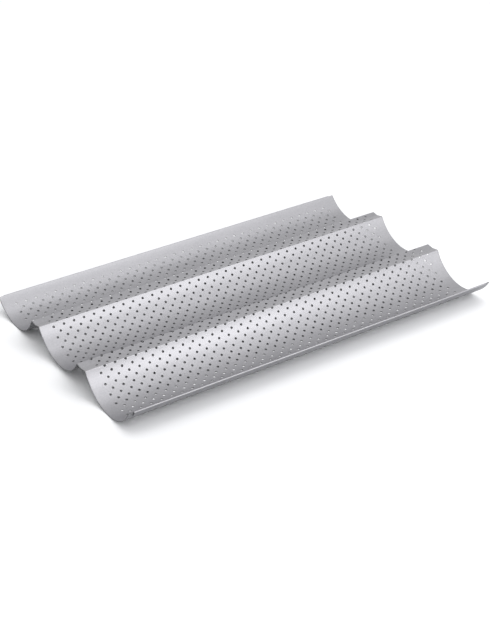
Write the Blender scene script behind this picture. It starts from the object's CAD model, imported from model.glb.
"""Three-loaf baguette tray: a perforated, coated steel sheet pressed to a wave, on a pale floor.

The sheet is made flat, with its rows of round holes, and then bent to the tray's section, as the
real one is. Flat positions are (x, s, depth): x along the troughs, s across the flat sheet from
the middle trough's lowest line, growing to the rear, and depth into the sheet from its upper
surface. Everything is in metres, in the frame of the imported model.
"""

import math

import bpy
import numpy as np
from mathutils import Matrix, Vector
from mathutils.geometry import delaunay_2d_cdt


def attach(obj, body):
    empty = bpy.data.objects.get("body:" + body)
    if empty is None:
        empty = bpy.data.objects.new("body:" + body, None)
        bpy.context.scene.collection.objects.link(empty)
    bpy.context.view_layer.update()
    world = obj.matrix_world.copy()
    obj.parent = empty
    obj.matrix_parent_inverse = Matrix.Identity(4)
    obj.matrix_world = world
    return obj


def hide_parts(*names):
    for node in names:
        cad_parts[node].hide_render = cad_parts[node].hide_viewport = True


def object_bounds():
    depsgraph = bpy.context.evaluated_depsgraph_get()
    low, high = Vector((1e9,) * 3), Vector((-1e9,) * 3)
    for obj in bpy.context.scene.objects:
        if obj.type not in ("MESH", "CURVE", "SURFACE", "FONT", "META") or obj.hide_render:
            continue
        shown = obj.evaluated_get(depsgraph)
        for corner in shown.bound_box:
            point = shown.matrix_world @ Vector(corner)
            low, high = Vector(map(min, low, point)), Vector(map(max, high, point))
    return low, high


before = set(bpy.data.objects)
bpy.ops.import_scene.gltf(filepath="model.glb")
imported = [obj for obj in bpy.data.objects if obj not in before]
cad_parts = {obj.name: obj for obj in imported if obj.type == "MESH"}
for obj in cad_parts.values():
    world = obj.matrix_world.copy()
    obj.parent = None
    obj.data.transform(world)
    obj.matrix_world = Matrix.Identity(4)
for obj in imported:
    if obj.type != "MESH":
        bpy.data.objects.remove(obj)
cad_low, cad_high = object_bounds()

MM = 0.001

# The sheet, and the upper surface across it as (y, z).
SHEET = 0.5 * MM
REAR_RIM = (120.65 * MM, 15.4 * MM)
REAR_RIDGE = {
    "back": (52 * MM, 23.9 * MM),
    "groove": (45.5 * MM, 22.9 * MM),
    "front": (37.5 * MM, 24.7 * MM),
}
FRONT_RIDGE = {
    "back": (-33.2 * MM, 23.8 * MM),
    "groove": (-40.6 * MM, 22.6 * MM),
    "front": (-48.2 * MM, 23.9 * MM),
}
FRONT_RIM = (-120.6 * MM, 22.1 * MM)
OUTER_FLOOR = SHEET
MIDDLE_FLOOR = SHEET + 3.1 * MM

# Each bend is spread over this much of the sheet, either side of its sharp corner.
BEND_HALF_WIDTH = 0.7 * MM
# Lines that divide a bend, as shares of that.
BEND_SHARES = np.array([-1, -0.6, -0.2, 0.2, 0.6, 1])
PATH_STEP = 0.02 * MM
BEYOND_RIM = 3 * MM

# The folded hems along the two long rims.
HEM_GAP = 0.3 * MM
HEM_WIDTH = 5.5 * MM
HEM_CUT_BACK = 5 * MM
FOLD_LINES = 11
FLANGE_LINES = 5
HEM_COLUMNS = 75

# The holes: every other place of a grid of rows and columns, in a draughtboard pattern.
HOLE_RADIUS = 1.1 * MM
HOLE_SIDES = 16
# A tile's triangles with their middles within this distance of a hole's centre are left out, to open
# the hole. A few corner triangles just inside its outline lie further out and stay, which leaves a
# hole 8 to 14 of its sides.
OPENED_WITHIN = 0.98 * HOLE_RADIUS
# Points of the tile's lines keep this far from a hole's centre.
CLEAR_OF_HOLE = 1.35 * HOLE_RADIUS
# A bend's lines keep this far from a row's edges, and the row's own lines this far from a bend's.
CLEAR_OF_SIDE = 0.2 * MM
CLEAR_OF_BEND = 0.25 * MM
COLUMN_PITCH = 5 * MM
FIRST_COLUMN = -177.14 * MM
COLUMNS = 72
FIRST_ROW = -28
LAST_ROW = 26
# Where rows lie on the flat sheet. Between these rows the others are evenly spaced.
ROW_PLACES = {
    -28: -140.4 * MM,
    -20: -103.53 * MM,
    -8: -43.16 * MM,
    0: -0.82 * MM,
    26: 130.15 * MM,
}
# The last row of each region but the rearmost, which ends at its rim.
LAST_ROW_OF = {"front_trough": -11, "front_ridge": -8, "middle_trough": 8, "rear_ridge": 11}

# The widths of the mesh's strips at the cut ends, beside the hems' ends and along the rims.
END_STRIP = 2 * MM
HEM_STRIP = 2.5 * MM
RIM_STRIP = 2.2 * MM

# Cut edges are softened by this much.
EDGE_SOFTENING = 0.1 * MM
# Shared points are matched on a grid this fine, and triangles smaller than this are left out.
WELD_STEP = 0.002 * MM
SLIVER_AREA = (0.01 * MM) ** 2
# Triangulated points closer than this, in millimetres, are one point.
MEETING_DISTANCE = 1e-5
# Walls that meet at a corner look round if the cosine between them is over this.
NEARLY_IN_LINE = 0.7


# The section


def trough_arc(front, rear, floor):
    """Points of the arc from a trough's front corner to its rear one, lowest at the floor."""
    front_rise, rear_rise = front[1] - floor, rear[1] - floor
    width = rear[0] - front[0]
    ratio = rear_rise / front_rise
    constant = width**2 + rear_rise**2 - ratio * front_rise**2
    root = math.sqrt(4 * width**2 - 4 * (1 - ratio) * constant)
    reach = 2 * constant / (2 * width + root)
    radius = (reach**2 + front_rise**2) / (2 * front_rise)
    centre_y, centre_z = front[0] + reach, floor + radius
    start = math.atan2(front[0] - centre_y, centre_z - front[1])
    end = math.atan2(rear[0] - centre_y, centre_z - rear[1])
    angles = np.linspace(start, end, 1 + round((end - start) * radius / PATH_STEP))
    return np.stack([centre_y + radius * np.sin(angles), centre_z - radius * np.cos(angles)], 1)


def lengths_along(path):
    return np.concatenate([[0], np.cumsum(np.linalg.norm(np.diff(path, axis=0), axis=1))])


def sharp_section():
    """The section from rim to rim with sharp bends, and its distances from the middle's lowest line."""
    front = trough_arc(FRONT_RIM, FRONT_RIDGE["front"], OUTER_FLOOR)
    middle = trough_arc(FRONT_RIDGE["back"], REAR_RIDGE["front"], MIDDLE_FLOOR)
    rear = trough_arc(REAR_RIDGE["back"], REAR_RIM, OUTER_FLOOR)
    path = np.concatenate([front, [FRONT_RIDGE["groove"]], middle, [REAR_RIDGE["groove"]], rear])
    lowest = len(front) + 1 + int(np.argmin(middle[:, 1]))
    distances = lengths_along(path)
    corners = [len(front) - 1, len(front), len(front) + 1, -len(rear) - 2, -len(rear) - 1, -len(rear)]
    return path, distances - distances[lowest], (distances - distances[lowest])[corners]


def extended(path, distances):
    """The path carried straight on a little past both rims, so that rounding doesn't change its ends."""
    first = path[0] + (path[0] - path[1]) / np.linalg.norm(path[0] - path[1]) * BEYOND_RIM
    last = path[-1] + (path[-1] - path[-2]) / np.linalg.norm(path[-1] - path[-2]) * BEYOND_RIM
    path = np.concatenate([[first], path, [last]])
    return path, np.concatenate([[distances[0] - BEYOND_RIM], distances, [distances[-1] + BEYOND_RIM]])


sharp_path, sharp_distances, BENDS = sharp_section()
FRONT_EDGE, REAR_EDGE = sharp_distances[0], sharp_distances[-1]
long_path, long_distances = extended(sharp_path, sharp_distances)
stations = np.arange(long_distances[0], long_distances[-1], PATH_STEP)
bend_window = np.ones(round(2 * BEND_HALF_WIDTH / PATH_STEP) + 1)
bend_window /= len(bend_window)


def rounded(values):
    """A coordinate of the section at the stations, with each bend spread over the bend's width."""
    along = np.interp(stations, long_distances, values)
    return np.convolve(along, bend_window, mode="same")


upper_y, upper_z = rounded(long_path[:, 0]), rounded(long_path[:, 1])
slope = np.stack([np.gradient(upper_y), np.gradient(upper_z)], 1)
slope /= np.linalg.norm(slope, axis=1)[:, None]


def tray_section(s):
    """The upper surface at s, the direction out of it, and the direction of growing s, each (y, z)."""
    base = np.stack([np.interp(s, stations, upper_y), np.interp(s, stations, upper_z)], -1)
    along = np.stack([np.interp(s, stations, slope[:, 0]), np.interp(s, stations, slope[:, 1])], -1)
    along /= np.linalg.norm(along, axis=-1)[..., None]
    out = np.stack([-along[..., 1], along[..., 0]], -1)
    return base, out, along


def hem_section(edge, side):
    """A hem's section. There s is 0 at the rim, and its size is the distance round the fold and down the
    flange; side is 1 at the rear rim and -1 at the front one."""
    crown_radius = SHEET + HEM_GAP / 2
    fold = math.pi * (crown_radius - SHEET / 2)
    rim, rim_out, rim_along = tray_section(np.array(edge))
    centre = rim - crown_radius * rim_out

    def section(s):
        t = side * s
        angle = np.clip(t / fold, 0, 1)[..., None] * math.pi
        turned_out = np.cos(angle) * rim_out + np.sin(angle) * side * rim_along
        turned_along = side * (-np.sin(angle) * rim_out + np.cos(angle) * side * rim_along)
        wall, wall_out, wall_along = tray_section(edge - side * np.maximum(t - fold, 0))
        flat = (t > fold)[..., None]
        base = np.where(flat, wall - 2 * crown_radius * wall_out, centre + crown_radius * turned_out)
        return base, np.where(flat, -wall_out, turned_out), np.where(flat, -wall_along, turned_along)

    return section, fold


# Flat outlines


def row_place(row):
    return float(np.interp(row, list(ROW_PLACES), list(ROW_PLACES.values())))


def row_start(row):
    """The line between this row of holes and the one in front of it."""
    if row == FIRST_ROW:
        return row_place(row) - COLUMN_PITCH / 2
    return (row_place(row - 1) + row_place(row)) / 2


def row_end(row):
    """The line between this row of holes and the one behind it."""
    return row_start(row + 1) if row < LAST_ROW else row_place(row) + COLUMN_PITCH / 2


def row_lines(row):
    """Lines along the tray that divide a row's strip: its edges, its middle, and more across a bend."""
    low, high = row_start(row), row_end(row)
    bent = (BENDS[:, None] + BEND_SHARES * BEND_HALF_WIDTH).ravel()
    bent = [s for s in bent if low + CLEAR_OF_SIDE < s < high - CLEAR_OF_SIDE]
    plain = [row_place(row)]
    if bent:
        plain += [low + (high - low) / 4, low + (high - low) * 3 / 4]
    plain = [s for s in plain if all(abs(s - b) > CLEAR_OF_BEND for b in bent)]
    return sorted([low, high] + plain + bent)


def hole_outline(x, s):
    angles = np.arange(HOLE_SIDES) * 2 * math.pi / HOLE_SIDES
    radius = HOLE_RADIUS + EDGE_SOFTENING
    return [Vector((x + radius * math.cos(a), s + radius * math.sin(a))) / MM for a in angles]


def tile_drawing(lines, hole):
    """The points and edges that a tile's triangles keep to, in millimetres: its lines, then its hole."""
    points, edges, ends = [], [], []
    for s in lines:
        across = [Vector((share * COLUMN_PITCH, s)) / MM for share in (0, 0.5, 1, 1.5, 2)]
        on_side = s in (lines[0], lines[-1])
        kept = [p for p in across if on_side or (p - hole).length > CLEAR_OF_HOLE / MM]
        ends.append((len(points), len(points) + len(kept) - 1))
        edges += [(len(points) + k, len(points) + k + 1) for k in range(len(kept) - 1)]
        points += kept
    for here, there in zip(ends, ends[1:]):
        edges += [(here[0], there[0]), (here[1], there[1])]
    start = len(points)
    points += hole_outline(hole.x * MM, hole.y * MM)
    edges += [(start + k, start + (k + 1) % HOLE_SIDES) for k in range(HOLE_SIDES)]
    return points, edges


def perforated_tile(row):
    """Two neighbouring places of a row, one with a hole and one without, as flat points and triangles."""
    lines = row_lines(row)
    hole = Vector((COLUMN_PITCH / 2 if row % 2 == 0 else COLUMN_PITCH * 3 / 2, row_place(row))) / MM
    points, edges = tile_drawing(lines, hole)
    corners, _, faces, _, _, _ = delaunay_2d_cdt(points, edges, [], 0, MEETING_DISTANCE)
    corners = np.array([tuple(c) for c in corners]) * MM
    corners[:, 0] = snapped(corners[:, 0], np.arange(5) * COLUMN_PITCH / 2)
    corners[:, 1] = snapped(corners[:, 1], np.array(lines))
    faces = np.array([tuple(f) for f in faces])
    middle = corners[faces].mean(axis=1) - np.array(hole) * MM
    faces = faces[np.linalg.norm(middle, axis=1) > OPENED_WITHIN]
    return corners, facing_up(corners, faces)


def snapped(values, lines):
    """Values moved exactly onto the line that they lie on, so that neighbours share their points."""
    nearest = lines[np.abs(values[:, None] - lines).argmin(axis=1)]
    return np.where(np.abs(values - nearest) < WELD_STEP, nearest, values)


def facing_up(corners, faces):
    """The faces turned to face up, without any that is only a sliver between points on one line."""
    a, b, c = (corners[faces[:, k]] for k in range(3))
    area = (b[:, 0] - a[:, 0]) * (c[:, 1] - a[:, 1]) - (b[:, 1] - a[:, 1]) * (c[:, 0] - a[:, 0])
    faces = np.where((area > 0)[:, None], faces, faces[:, ::-1])
    return faces[np.abs(area) > SLIVER_AREA]


def grid(x_lines, s_lines):
    """A plain stretch of sheet as flat points and triangles."""
    x, s = np.meshgrid(x_lines, s_lines)
    index = np.arange(x.size).reshape(x.shape)
    low, right = index[:-1, :-1].ravel(), index[:-1, 1:].ravel()
    up, far = index[1:, :-1].ravel(), index[1:, 1:].ravel()
    faces = np.concatenate([np.stack([low, right, far], 1), np.stack([low, far, up], 1)])
    return np.stack([x.ravel(), s.ravel()], 1), faces


def joined_up(parts):
    """Flat parts as one, with their shared points welded and loose points dropped."""
    starts = np.cumsum([0] + [len(points) for points, _ in parts[:-1]])
    points = np.concatenate([points for points, _ in parts])
    faces = np.concatenate([faces + start for (_, faces), start in zip(parts, starts)])
    used, faces = np.unique(faces, return_inverse=True)
    points, faces = points[used], faces.reshape(-1, 3)
    on_grid = np.round(points / WELD_STEP)
    _, first, same = np.unique(on_grid, axis=0, return_index=True, return_inverse=True)
    return points[first], same.reshape(-1)[faces]


HALF_LENGTH = (cad_high.x - cad_low.x) / 2
HOLES_LEFT = FIRST_COLUMN - COLUMN_PITCH / 2
HOLES_RIGHT = HOLES_LEFT + COLUMNS * COLUMN_PITCH
END = HALF_LENGTH - EDGE_SOFTENING
HEM_END = HALF_LENGTH - HEM_CUT_BACK


def margins_beside(s_lines):
    """The plain ends of the sheet, left and right of the holes."""
    left = [-END, -END + END_STRIP, -HEM_END, -HEM_END + HEM_STRIP, HOLES_LEFT]
    right = [HOLES_RIGHT, HEM_END - HEM_STRIP, HEM_END, END - END_STRIP, END]
    return [grid(left, s_lines), grid(right, s_lines)]


def perforated_row(row):
    points, faces = perforated_tile(row)
    tiles = COLUMNS // 2
    shift = HOLES_LEFT + 2 * COLUMN_PITCH * np.arange(tiles)
    many = points[None] + np.stack([shift, 0 * shift], 1)[:, None]
    many_faces = faces[None] + len(points) * np.arange(tiles)[:, None, None]
    return [(many.reshape(-1, 2), many_faces.reshape(-1, 3))] + margins_beside(row_lines(row))


def plain_rim(low, high):
    """The plain strip between the last holes and a rim."""
    s_lines = np.linspace(low, high, 2 + round((high - low) / RIM_STRIP))
    x_lines = np.linspace(HOLES_LEFT, HOLES_RIGHT, 1 + 2 * COLUMNS)
    return [grid(x_lines, s_lines)] + margins_beside(s_lines)


def flat_region(name):
    """The flat outline of one region of the sheet, from its first row of holes to its last."""
    names = list(LAST_ROW_OF)
    place = names.index(name) if name in names else len(names)
    first = FIRST_ROW if place == 0 else LAST_ROW_OF[names[place - 1]] + 1
    last = LAST_ROW_OF.get(name, LAST_ROW)
    parts = [part for row in range(first, last + 1) for part in perforated_row(row)]
    if first == FIRST_ROW:
        parts += plain_rim(FRONT_EDGE, row_start(FIRST_ROW))
    if last == LAST_ROW:
        parts += plain_rim(row_end(LAST_ROW), REAR_EDGE)
    return joined_up(parts)


# Solid pieces


def edge_normals(points, rim):
    step = points[rim[:, 1]] - points[rim[:, 0]]
    outward = np.stack([step[:, 1], -step[:, 0]], 1)
    return outward / np.linalg.norm(outward, axis=1)[:, None]


def smoothed(own, neighbour):
    """A wall's normal at a corner, shared with its neighbour's where the two nearly line up."""
    both = own + neighbour
    both /= np.maximum(np.linalg.norm(both, axis=1), 1e-9)[:, None]
    return np.where(((own * neighbour).sum(1) > NEARLY_IN_LINE)[:, None], both, own)


def rim_of(points, faces):
    """The outline's edges, their outward normals, and the edge arriving at and leaving each point."""
    count = len(points)
    directed = faces[:, [0, 1, 1, 2, 2, 0]].reshape(-1, 2)
    forward, backward = directed @ [count, 1], directed @ [1, count]
    rim = directed[~np.isin(forward, backward)]
    leaving, arriving = np.zeros(count, int), np.zeros(count, int)
    leaving[rim[:, 0]], arriving[rim[:, 1]] = np.arange(len(rim)), np.arange(len(rim))
    return rim, edge_normals(points, rim), arriving, leaving


def wall_offsets(outward, cut, before, after):
    """How far each corner of a wall stands out from the flat faces' rim, past its cut sides only."""
    one = outward[before] * cut[before][:, None]
    two = outward[after] * cut[after][:, None]
    reach = 1 + (one * two).sum(1) * (cut[before] & cut[after])
    return (one + two) / reach[:, None] * EDGE_SOFTENING


def solid_sheet(points, faces, is_join):
    """A flat outline given the sheet's thickness: flat corners, faces, and a normal for each face corner.
    Rim edges that is_join accepts meet the next piece, so they stay square. The others are softened."""
    count = len(points)
    rim, outward, arriving, leaving = rim_of(points, faces)
    start, end = rim[:, 0], rim[:, 1]
    cut = ~is_join((points[start] + points[end]) / 2)
    corner = np.unique(rim)
    wall_place = points[corner] + wall_offsets(outward, cut, arriving[corner], leaving[corner])
    flat = np.concatenate(
        [
            np.column_stack([points, np.zeros(count)]),
            np.column_stack([points, np.full(count, SHEET)]),
            np.column_stack([wall_place, np.full(len(corner), EDGE_SOFTENING)]),
            np.column_stack([wall_place, np.full(len(corner), SHEET - EDGE_SOFTENING)]),
        ]
    )
    order = np.zeros(count, int)
    order[corner] = np.arange(len(corner))
    high, low = 2 * count + order, 2 * count + len(corner) + order

    turned = [smoothed(outward, outward[arriving[start]]), smoothed(outward, outward[leaving[end]])]
    wall = [np.column_stack([normals, np.zeros(len(rim))]) for normals in turned]
    up = np.tile([0.0, 0.0, 1.0], (len(rim), 1))
    top = [np.where(cut[:, None], up, side) for side in wall]
    bottom = [np.where(cut[:, None], -up, side) for side in wall]
    rings = [
        ([high[start], high[end], end, start], [wall[0], wall[1], top[1], top[0]]),
        ([low[start], low[end], high[end], high[start]], [wall[0], wall[1], wall[1], wall[0]]),
        ([count + start, count + end, low[end], low[start]], [bottom[0], bottom[1], wall[1], wall[0]]),
    ]
    quads = np.concatenate([np.stack(ring, 1) for ring, _ in rings])
    quad_normals = np.concatenate([np.stack(normals, 1) for _, normals in rings])
    surfaces = np.concatenate([faces, faces[:, ::-1] + count])
    surface_normals = np.zeros((len(surfaces), 3, 3))
    surface_normals[: len(faces), :, 2] = 1
    surface_normals[len(faces) :, :, 2] = -1
    return flat, surfaces, quads, surface_normals, quad_normals


def bent_piece(name, solid, section):
    """A mesh object of a flat solid, bent to a section, with the true surface's normals."""
    flat, surfaces, quads, surface_normals, quad_normals = solid
    base, out, along = section(flat[:, 1])
    place = base - flat[:, 2:] * out
    loops = np.concatenate([surfaces.ravel(), quads.ravel()])
    flat_normals = np.concatenate([surface_normals.reshape(-1, 3), quad_normals.reshape(-1, 3)])
    bent = flat_normals[:, 1:2] * along[loops] + flat_normals[:, 2:] * out[loops]
    normals = np.column_stack([flat_normals[:, 0], bent])

    mesh = bpy.data.meshes.new(name)
    mesh.vertices.add(len(flat))
    mesh.vertices.foreach_set("co", np.column_stack([flat[:, 0], place]).astype(np.float32).ravel())
    mesh.loops.add(len(loops))
    mesh.loops.foreach_set("vertex_index", loops.astype(np.int32))
    sizes = np.concatenate([np.full(len(surfaces), 3), np.full(len(quads), 4)])
    mesh.polygons.add(len(sizes))
    mesh.polygons.foreach_set("loop_start", (np.cumsum(sizes) - sizes).astype(np.int32))
    mesh.polygons.foreach_set("use_smooth", np.ones(len(sizes), bool))
    mesh.polygons.foreach_set("material_index", (sizes == 4).astype(np.int32))
    mesh.update(calc_edges=True)
    mesh.normals_split_custom_set(normals)
    piece = bpy.data.objects.new(name, mesh)
    bpy.context.scene.collection.objects.link(piece)
    return piece


def region_piece(name):
    """One region of the sheet, from rim or join to join or rim."""
    points, faces = flat_region(name)
    low, high = points[:, 1].min(), points[:, 1].max()

    def is_join(middle):
        x, s = np.abs(middle[:, 0]), middle[:, 1]
        at_side = (np.abs(s - low) < WELD_STEP) | (np.abs(s - high) < WELD_STEP)
        at_rim = (np.abs(s - FRONT_EDGE) < WELD_STEP) | (np.abs(s - REAR_EDGE) < WELD_STEP)
        return at_side & (~at_rim | (x < HEM_END))

    return bent_piece(name, solid_sheet(points, faces, is_join), tray_section)


def hem_piece(name, edge, side):
    """One folded hem, joined to the rim at the start of its fold."""
    section, fold = hem_section(edge, side)
    round_the_fold = np.linspace(0, fold, FOLD_LINES)
    down_the_flange = np.linspace(fold, fold + HEM_WIDTH - EDGE_SOFTENING, FLANGE_LINES)[1:]
    s_lines = side * np.concatenate([round_the_fold, down_the_flange])
    end = HEM_END - EDGE_SOFTENING
    points, faces = joined_up([grid(np.linspace(-end, end, HEM_COLUMNS), np.sort(s_lines))])

    def is_join(middle):
        return np.abs(middle[:, 1]) < WELD_STEP

    return bent_piece(name, solid_sheet(points, faces, is_join), section)


# Materials

# Colours. The coat's flake goes from dark to light; it is worn at the cut ends, and baked underneath.
COAT_DARK = (0.307, 0.305, 0.322, 1)
COAT_LIGHT = (0.398, 0.395, 0.415, 1)
COAT_WORN = (0.205, 0.205, 0.212, 1)
COAT_BAKED = (0.245, 0.245, 0.257, 1)
EDGE_DARK = (0.10, 0.10, 0.105, 1)
EDGE_LIGHT = (0.18, 0.18, 0.185, 1)
FLOOR_DARK = (0.855, 0.86, 0.875, 1)
FLOOR_LIGHT = (0.875, 0.88, 0.895, 1)

# The height of a surface's normal, from fully baked to not baked.
FACING_DOWN = (-0.35, -0.05)
BAKED_SHARES = (0.85, 1)
WEAR_WIDTH = 0.9 * MM
WEAR_ROUGHNESS = 0.1
COAT_METALLIC = 0.85
COAT_ROUGHNESS = 0.42
# What the flake and the clouding add to the coat's tone, and to its roughness either way.
FLAKE_TONE = 0.8
CLOUD_TONE = 0.2
FLAKE_GLOSS = 0.04
CLOUD_GLOSS = 0.02
EDGE_ROUGHNESS = (0.5, 0.62)
FLOOR_ROUGHNESS = (0.88, 0.94)
FLOOR_SPECULAR = 0.1

# Noise patterns, in features for each metre.
FLAKE_SCALE = 750
CLOUD_SCALE = 22
GRAIN_SCALE = 2600
BURR_SCALE = 1800
MOTTLE_SCALE = 8
TOOTH_SCALE = 900
# The part of 0 to 1 that a noise mostly takes.
NOISE_RANGE = (0.3, 0.7)
BUMP_DEPTH = 0.1 * MM
GRAIN_BUMP = 0.12
BURR_BUMP = 0.2
TOOTH_BUMP = 0.1


class Nodes:
    """Short calls for building a node tree."""

    def __init__(self, tree):
        self.tree = tree

    def fill(self, node, inputs):
        for key, value in inputs.items():
            if isinstance(value, bpy.types.NodeSocket):
                self.tree.links.new(value, node.inputs[key])
            else:
                node.inputs[key].default_value = value

    def add(self, kind, inputs=(), **settings):
        node = self.tree.nodes.new(kind)
        for key, value in settings.items():
            setattr(node, key, value)
        self.fill(node, dict(inputs))
        return node

    def coordinates(self, kind):
        return self.add("ShaderNodeTexCoord").outputs[kind]

    def part_of(self, vector, axis):
        return self.add("ShaderNodeSeparateXYZ", {0: vector}).outputs[axis]

    def noise(self, place, scale, detail=2.0, roughness=0.5):
        inputs = {"Vector": place, "Scale": scale, "Detail": detail, "Roughness": roughness}
        return self.add("ShaderNodeTexNoise", inputs).outputs["Fac"]

    def spread(self, value, low, high, to_low, to_high):
        """The value's stretch from low to high, carried over to the stretch from to_low to to_high."""
        inputs = {0: value, 1: low, 2: high, 3: to_low, 4: to_high}
        return self.add("ShaderNodeMapRange", inputs).outputs[0]

    def vary(self, noise, to_low, to_high):
        """A noise carried over to the stretch from to_low to to_high."""
        return self.spread(noise, *NOISE_RANGE, to_low, to_high)

    def math(self, operation, a, b=0.0):
        return self.add("ShaderNodeMath", {0: a, 1: b}, operation=operation).outputs[0]

    def mix(self, share, a, b):
        return self.add("ShaderNodeMix", {0: share, 6: a, 7: b}, data_type="RGBA").outputs[2]

    def bump(self, height, strength):
        inputs = {"Height": height, "Strength": strength, "Distance": BUMP_DEPTH}
        return self.add("ShaderNodeBump", inputs).outputs[0]

    def surface(self, inputs):
        shader = self.add("ShaderNodeBsdfPrincipled", inputs)
        self.add("ShaderNodeOutputMaterial", {"Surface": shader.outputs[0]})


def empty_material(name):
    material = bpy.data.materials.new(name)
    material.use_nodes = True
    material.node_tree.nodes.clear()
    return material, Nodes(material.node_tree)


def end_wear(n, place, flake):
    """How worn the coat is: 1 at the sheet's two cut ends, down to 0 a ragged width away."""
    from_middle = n.math("ABSOLUTE", n.part_of(place, 0))
    ragged = n.math("ADD", from_middle, n.vary(flake, -WEAR_WIDTH / 2, WEAR_WIDTH / 2))
    return n.spread(ragged, cad_high.x - WEAR_WIDTH, cad_high.x, 0, 1)


def coated_steel():
    """Satin silver-grey coating: a fine speckle of metal flake, faint clouding and a fine grain. It is
    darker where the sheet faces down to the oven's heat, and worn dull along the two cut ends."""
    material, n = empty_material("coated_steel")
    place = n.coordinates("Object")
    flake = n.noise(place, FLAKE_SCALE, detail=3.0, roughness=0.7)
    cloud = n.noise(place, CLOUD_SCALE, detail=3.0)
    tone = n.math("ADD", n.vary(flake, 0, FLAKE_TONE), n.vary(cloud, 0, CLOUD_TONE))
    wear = end_wear(n, place, flake)
    up = n.part_of(n.add("ShaderNodeNewGeometry").outputs["Normal"], 2)
    baked = n.math("MULTIPLY", n.spread(up, *FACING_DOWN, 1, 0), n.vary(cloud, *BAKED_SHARES))
    colour = n.mix(baked, n.mix(tone, COAT_DARK, COAT_LIGHT), COAT_BAKED)
    flake_gloss = n.vary(flake, -FLAKE_GLOSS, FLAKE_GLOSS)
    cloud_gloss = n.vary(cloud, -CLOUD_GLOSS, CLOUD_GLOSS)
    gloss = n.math("ADD", flake_gloss, cloud_gloss)
    gloss = n.math("ADD", gloss, n.math("MULTIPLY", wear, WEAR_ROUGHNESS))
    n.surface(
        {
            "Base Color": n.mix(wear, colour, COAT_WORN),
            "Roughness": n.math("ADD", gloss, COAT_ROUGHNESS),
            "Metallic": COAT_METALLIC,
            "Normal": n.bump(n.noise(place, GRAIN_SCALE, roughness=0.6), GRAIN_BUMP),
        }
    )
    return material


def cut_edge():
    """Cut edges and hole walls: the coat is thin and rough there, so they look darker."""
    material, n = empty_material("cut_edge")
    burr = n.noise(n.coordinates("Object"), BURR_SCALE)
    n.surface(
        {
            "Base Color": n.mix(n.vary(burr, 0, 1), EDGE_DARK, EDGE_LIGHT),
            "Roughness": n.vary(burr, *EDGE_ROUGHNESS),
            "Metallic": COAT_METALLIC,
            "Normal": n.bump(burr, BURR_BUMP),
        }
    )
    return material


def pale_floor():
    """A plain pale matt floor, with only a faint mottle and a fine tooth."""
    material, n = empty_material("pale_floor")
    place = n.coordinates("Object")
    mottle = n.vary(n.noise(place, MOTTLE_SCALE), 0, 1)
    tooth = n.noise(place, TOOTH_SCALE)
    n.surface(
        {
            "Base Color": n.mix(mottle, FLOOR_DARK, FLOOR_LIGHT),
            "Roughness": n.vary(tooth, *FLOOR_ROUGHNESS),
            "Specular IOR Level": FLOOR_SPECULAR,
            "Normal": n.bump(tooth, TOOTH_BUMP),
        }
    )
    return material


# Pieces

coat = coated_steel()
bare_edge = cut_edge()
made = {name: region_piece(name) for name in [*LAST_ROW_OF, "rear_trough"]}
made["front_hem"] = hem_piece("front_hem", FRONT_EDGE, -1)
made["rear_hem"] = hem_piece("rear_hem", REAR_EDGE, 1)
for node, piece in made.items():
    piece.name = node + "_sheet"
    piece.data.materials.append(coat)
    piece.data.materials.append(bare_edge)
    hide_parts(node)
    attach(piece, "root")


# Floor, light and camera

FLOOR_HALF_SIZE = 6.0

# Lights on stands, each with its azimuth and elevation in degrees, distance, width and power.
STAND_LIGHTS = {
    "right_front_light": (30, 38, 1.5, 0.9, 3.95),
    "low_front_light": (30, 12, 1.5, 0.9, 3.2),
    "near_front_light": (15, 38, 0.75, 0.5, 0.73),
    "low_rear_light": (150, 12, 1.5, 0.9, 0.6),
}
# Distant lights, each with its azimuth, elevation and apparent width in degrees, and strength.
DISTANT_LIGHTS = {"top_light": (0, 90, 34, 0.47), "high_right_light": (60, 64, 34, 0.24)}
# The surroundings are dimmer near the horizon than overhead: heights, and the strengths there.
WORLD_RISE = (0.05, 0.5)
WORLD_STRENGTHS = (0.76, 0.90)


def make_floor():
    half, z = FLOOR_HALF_SIZE, cad_low.z
    corners = [(-half, -half, z), (half, -half, z), (half, half, z), (-half, half, z)]
    mesh = bpy.data.meshes.new("floor")
    mesh.from_pydata(corners, [], [(0, 1, 2, 3)])
    mesh.materials.append(pale_floor())
    floor = bpy.data.objects.new("floor", mesh)
    bpy.context.scene.collection.objects.link(floor)


def direction(azimuth, elevation):
    """The way to a place round the tray: azimuth 0 is in front of it and 90 at its right."""
    a, e = math.radians(azimuth), math.radians(elevation)
    return Vector((math.sin(a) * math.cos(e), -math.cos(a) * math.cos(e), math.sin(e)))


def facing_lamp(name, light, azimuth, elevation, distance=0.0):
    """A lamp that shines on the tray from an azimuth and elevation."""
    lamp = bpy.data.objects.new(name, light)
    lamp.location = direction(azimuth, elevation) * distance
    lamp.rotation_euler = direction(azimuth, elevation).to_track_quat("Z", "Y").to_euler()
    lamp.visible_camera = False
    bpy.context.scene.collection.objects.link(lamp)


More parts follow.
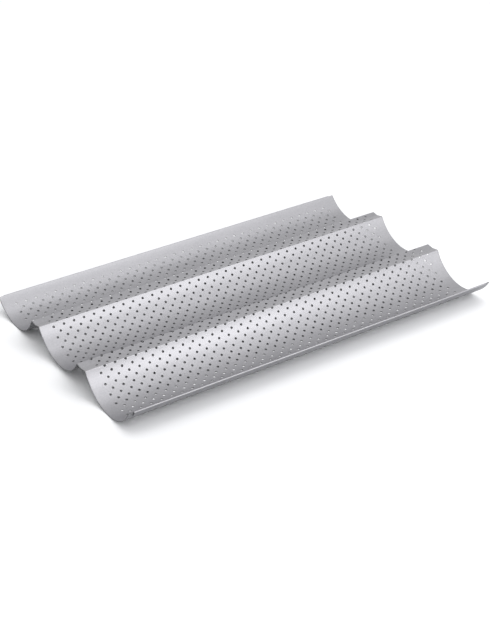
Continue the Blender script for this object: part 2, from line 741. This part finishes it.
def stand_light(name, azimuth, elevation, distance, width, power):
    light = bpy.data.lights.new(name, "AREA")
    light.shape = "DISK"
    light.size = width
    light.energy = power
    facing_lamp(name, light, azimuth, elevation, distance)


def distant_light(name, azimuth, elevation, width, strength):
    light = bpy.data.lights.new(name, "SUN")
    light.angle = math.radians(width)
    light.energy = strength
    facing_lamp(name, light, azimuth, elevation)


def make_surroundings():
    world = bpy.data.worlds.new("studio")
    world.use_nodes = True
    n = Nodes(world.node_tree)
    height = n.part_of(n.coordinates("Generated"), 2)
    strength = n.spread(height, *WORLD_RISE, *WORLD_STRENGTHS)
    n.fill(world.node_tree.nodes["Background"], {"Color": (1, 1, 1, 1), "Strength": strength})
    bpy.context.scene.world = world


# The camera, with its slide to the right and up across its line of sight.
CAMERA_AZIMUTH = -33.242
CAMERA_ELEVATION = 30.104
CAMERA_ROLL = -0.653
CAMERA_DISTANCE = 1316.52 * MM
CAMERA_SLIDE = (0.48 * MM, -2.10 * MM)
CAMERA_LENS = 82.80
SENSOR_WIDTH = 36
CAMERA_CLIP = (0.05, 50)


def make_camera():
    back = direction(CAMERA_AZIMUTH, CAMERA_ELEVATION)
    level = Vector((0, 0, 1)).cross(back).normalized()
    upright = back.cross(level)
    roll = math.radians(CAMERA_ROLL)
    right = level * math.cos(roll) + upright * math.sin(roll)
    up = upright * math.cos(roll) - level * math.sin(roll)
    place = back * CAMERA_DISTANCE + right * CAMERA_SLIDE[0] + up * CAMERA_SLIDE[1]
    place.z += OUTER_FLOOR
    data = bpy.data.cameras.new("camera")
    data.lens = CAMERA_LENS
    data.sensor_width = SENSOR_WIDTH
    data.clip_start, data.clip_end = CAMERA_CLIP
    camera = bpy.data.objects.new("camera", data)
    axes = Matrix((right, up, back)).transposed().to_4x4()
    camera.matrix_world = Matrix.Translation(place) @ axes
    bpy.context.scene.collection.objects.link(camera)
    bpy.context.scene.camera = camera


make_floor()
for name, settings in STAND_LIGHTS.items():
    stand_light(name, *settings)
for name, settings in DISTANT_LIGHTS.items():
    distant_light(name, *settings)
make_surroundings()
make_camera()
bpy.context.scene.view_settings.view_transform = "Standard"
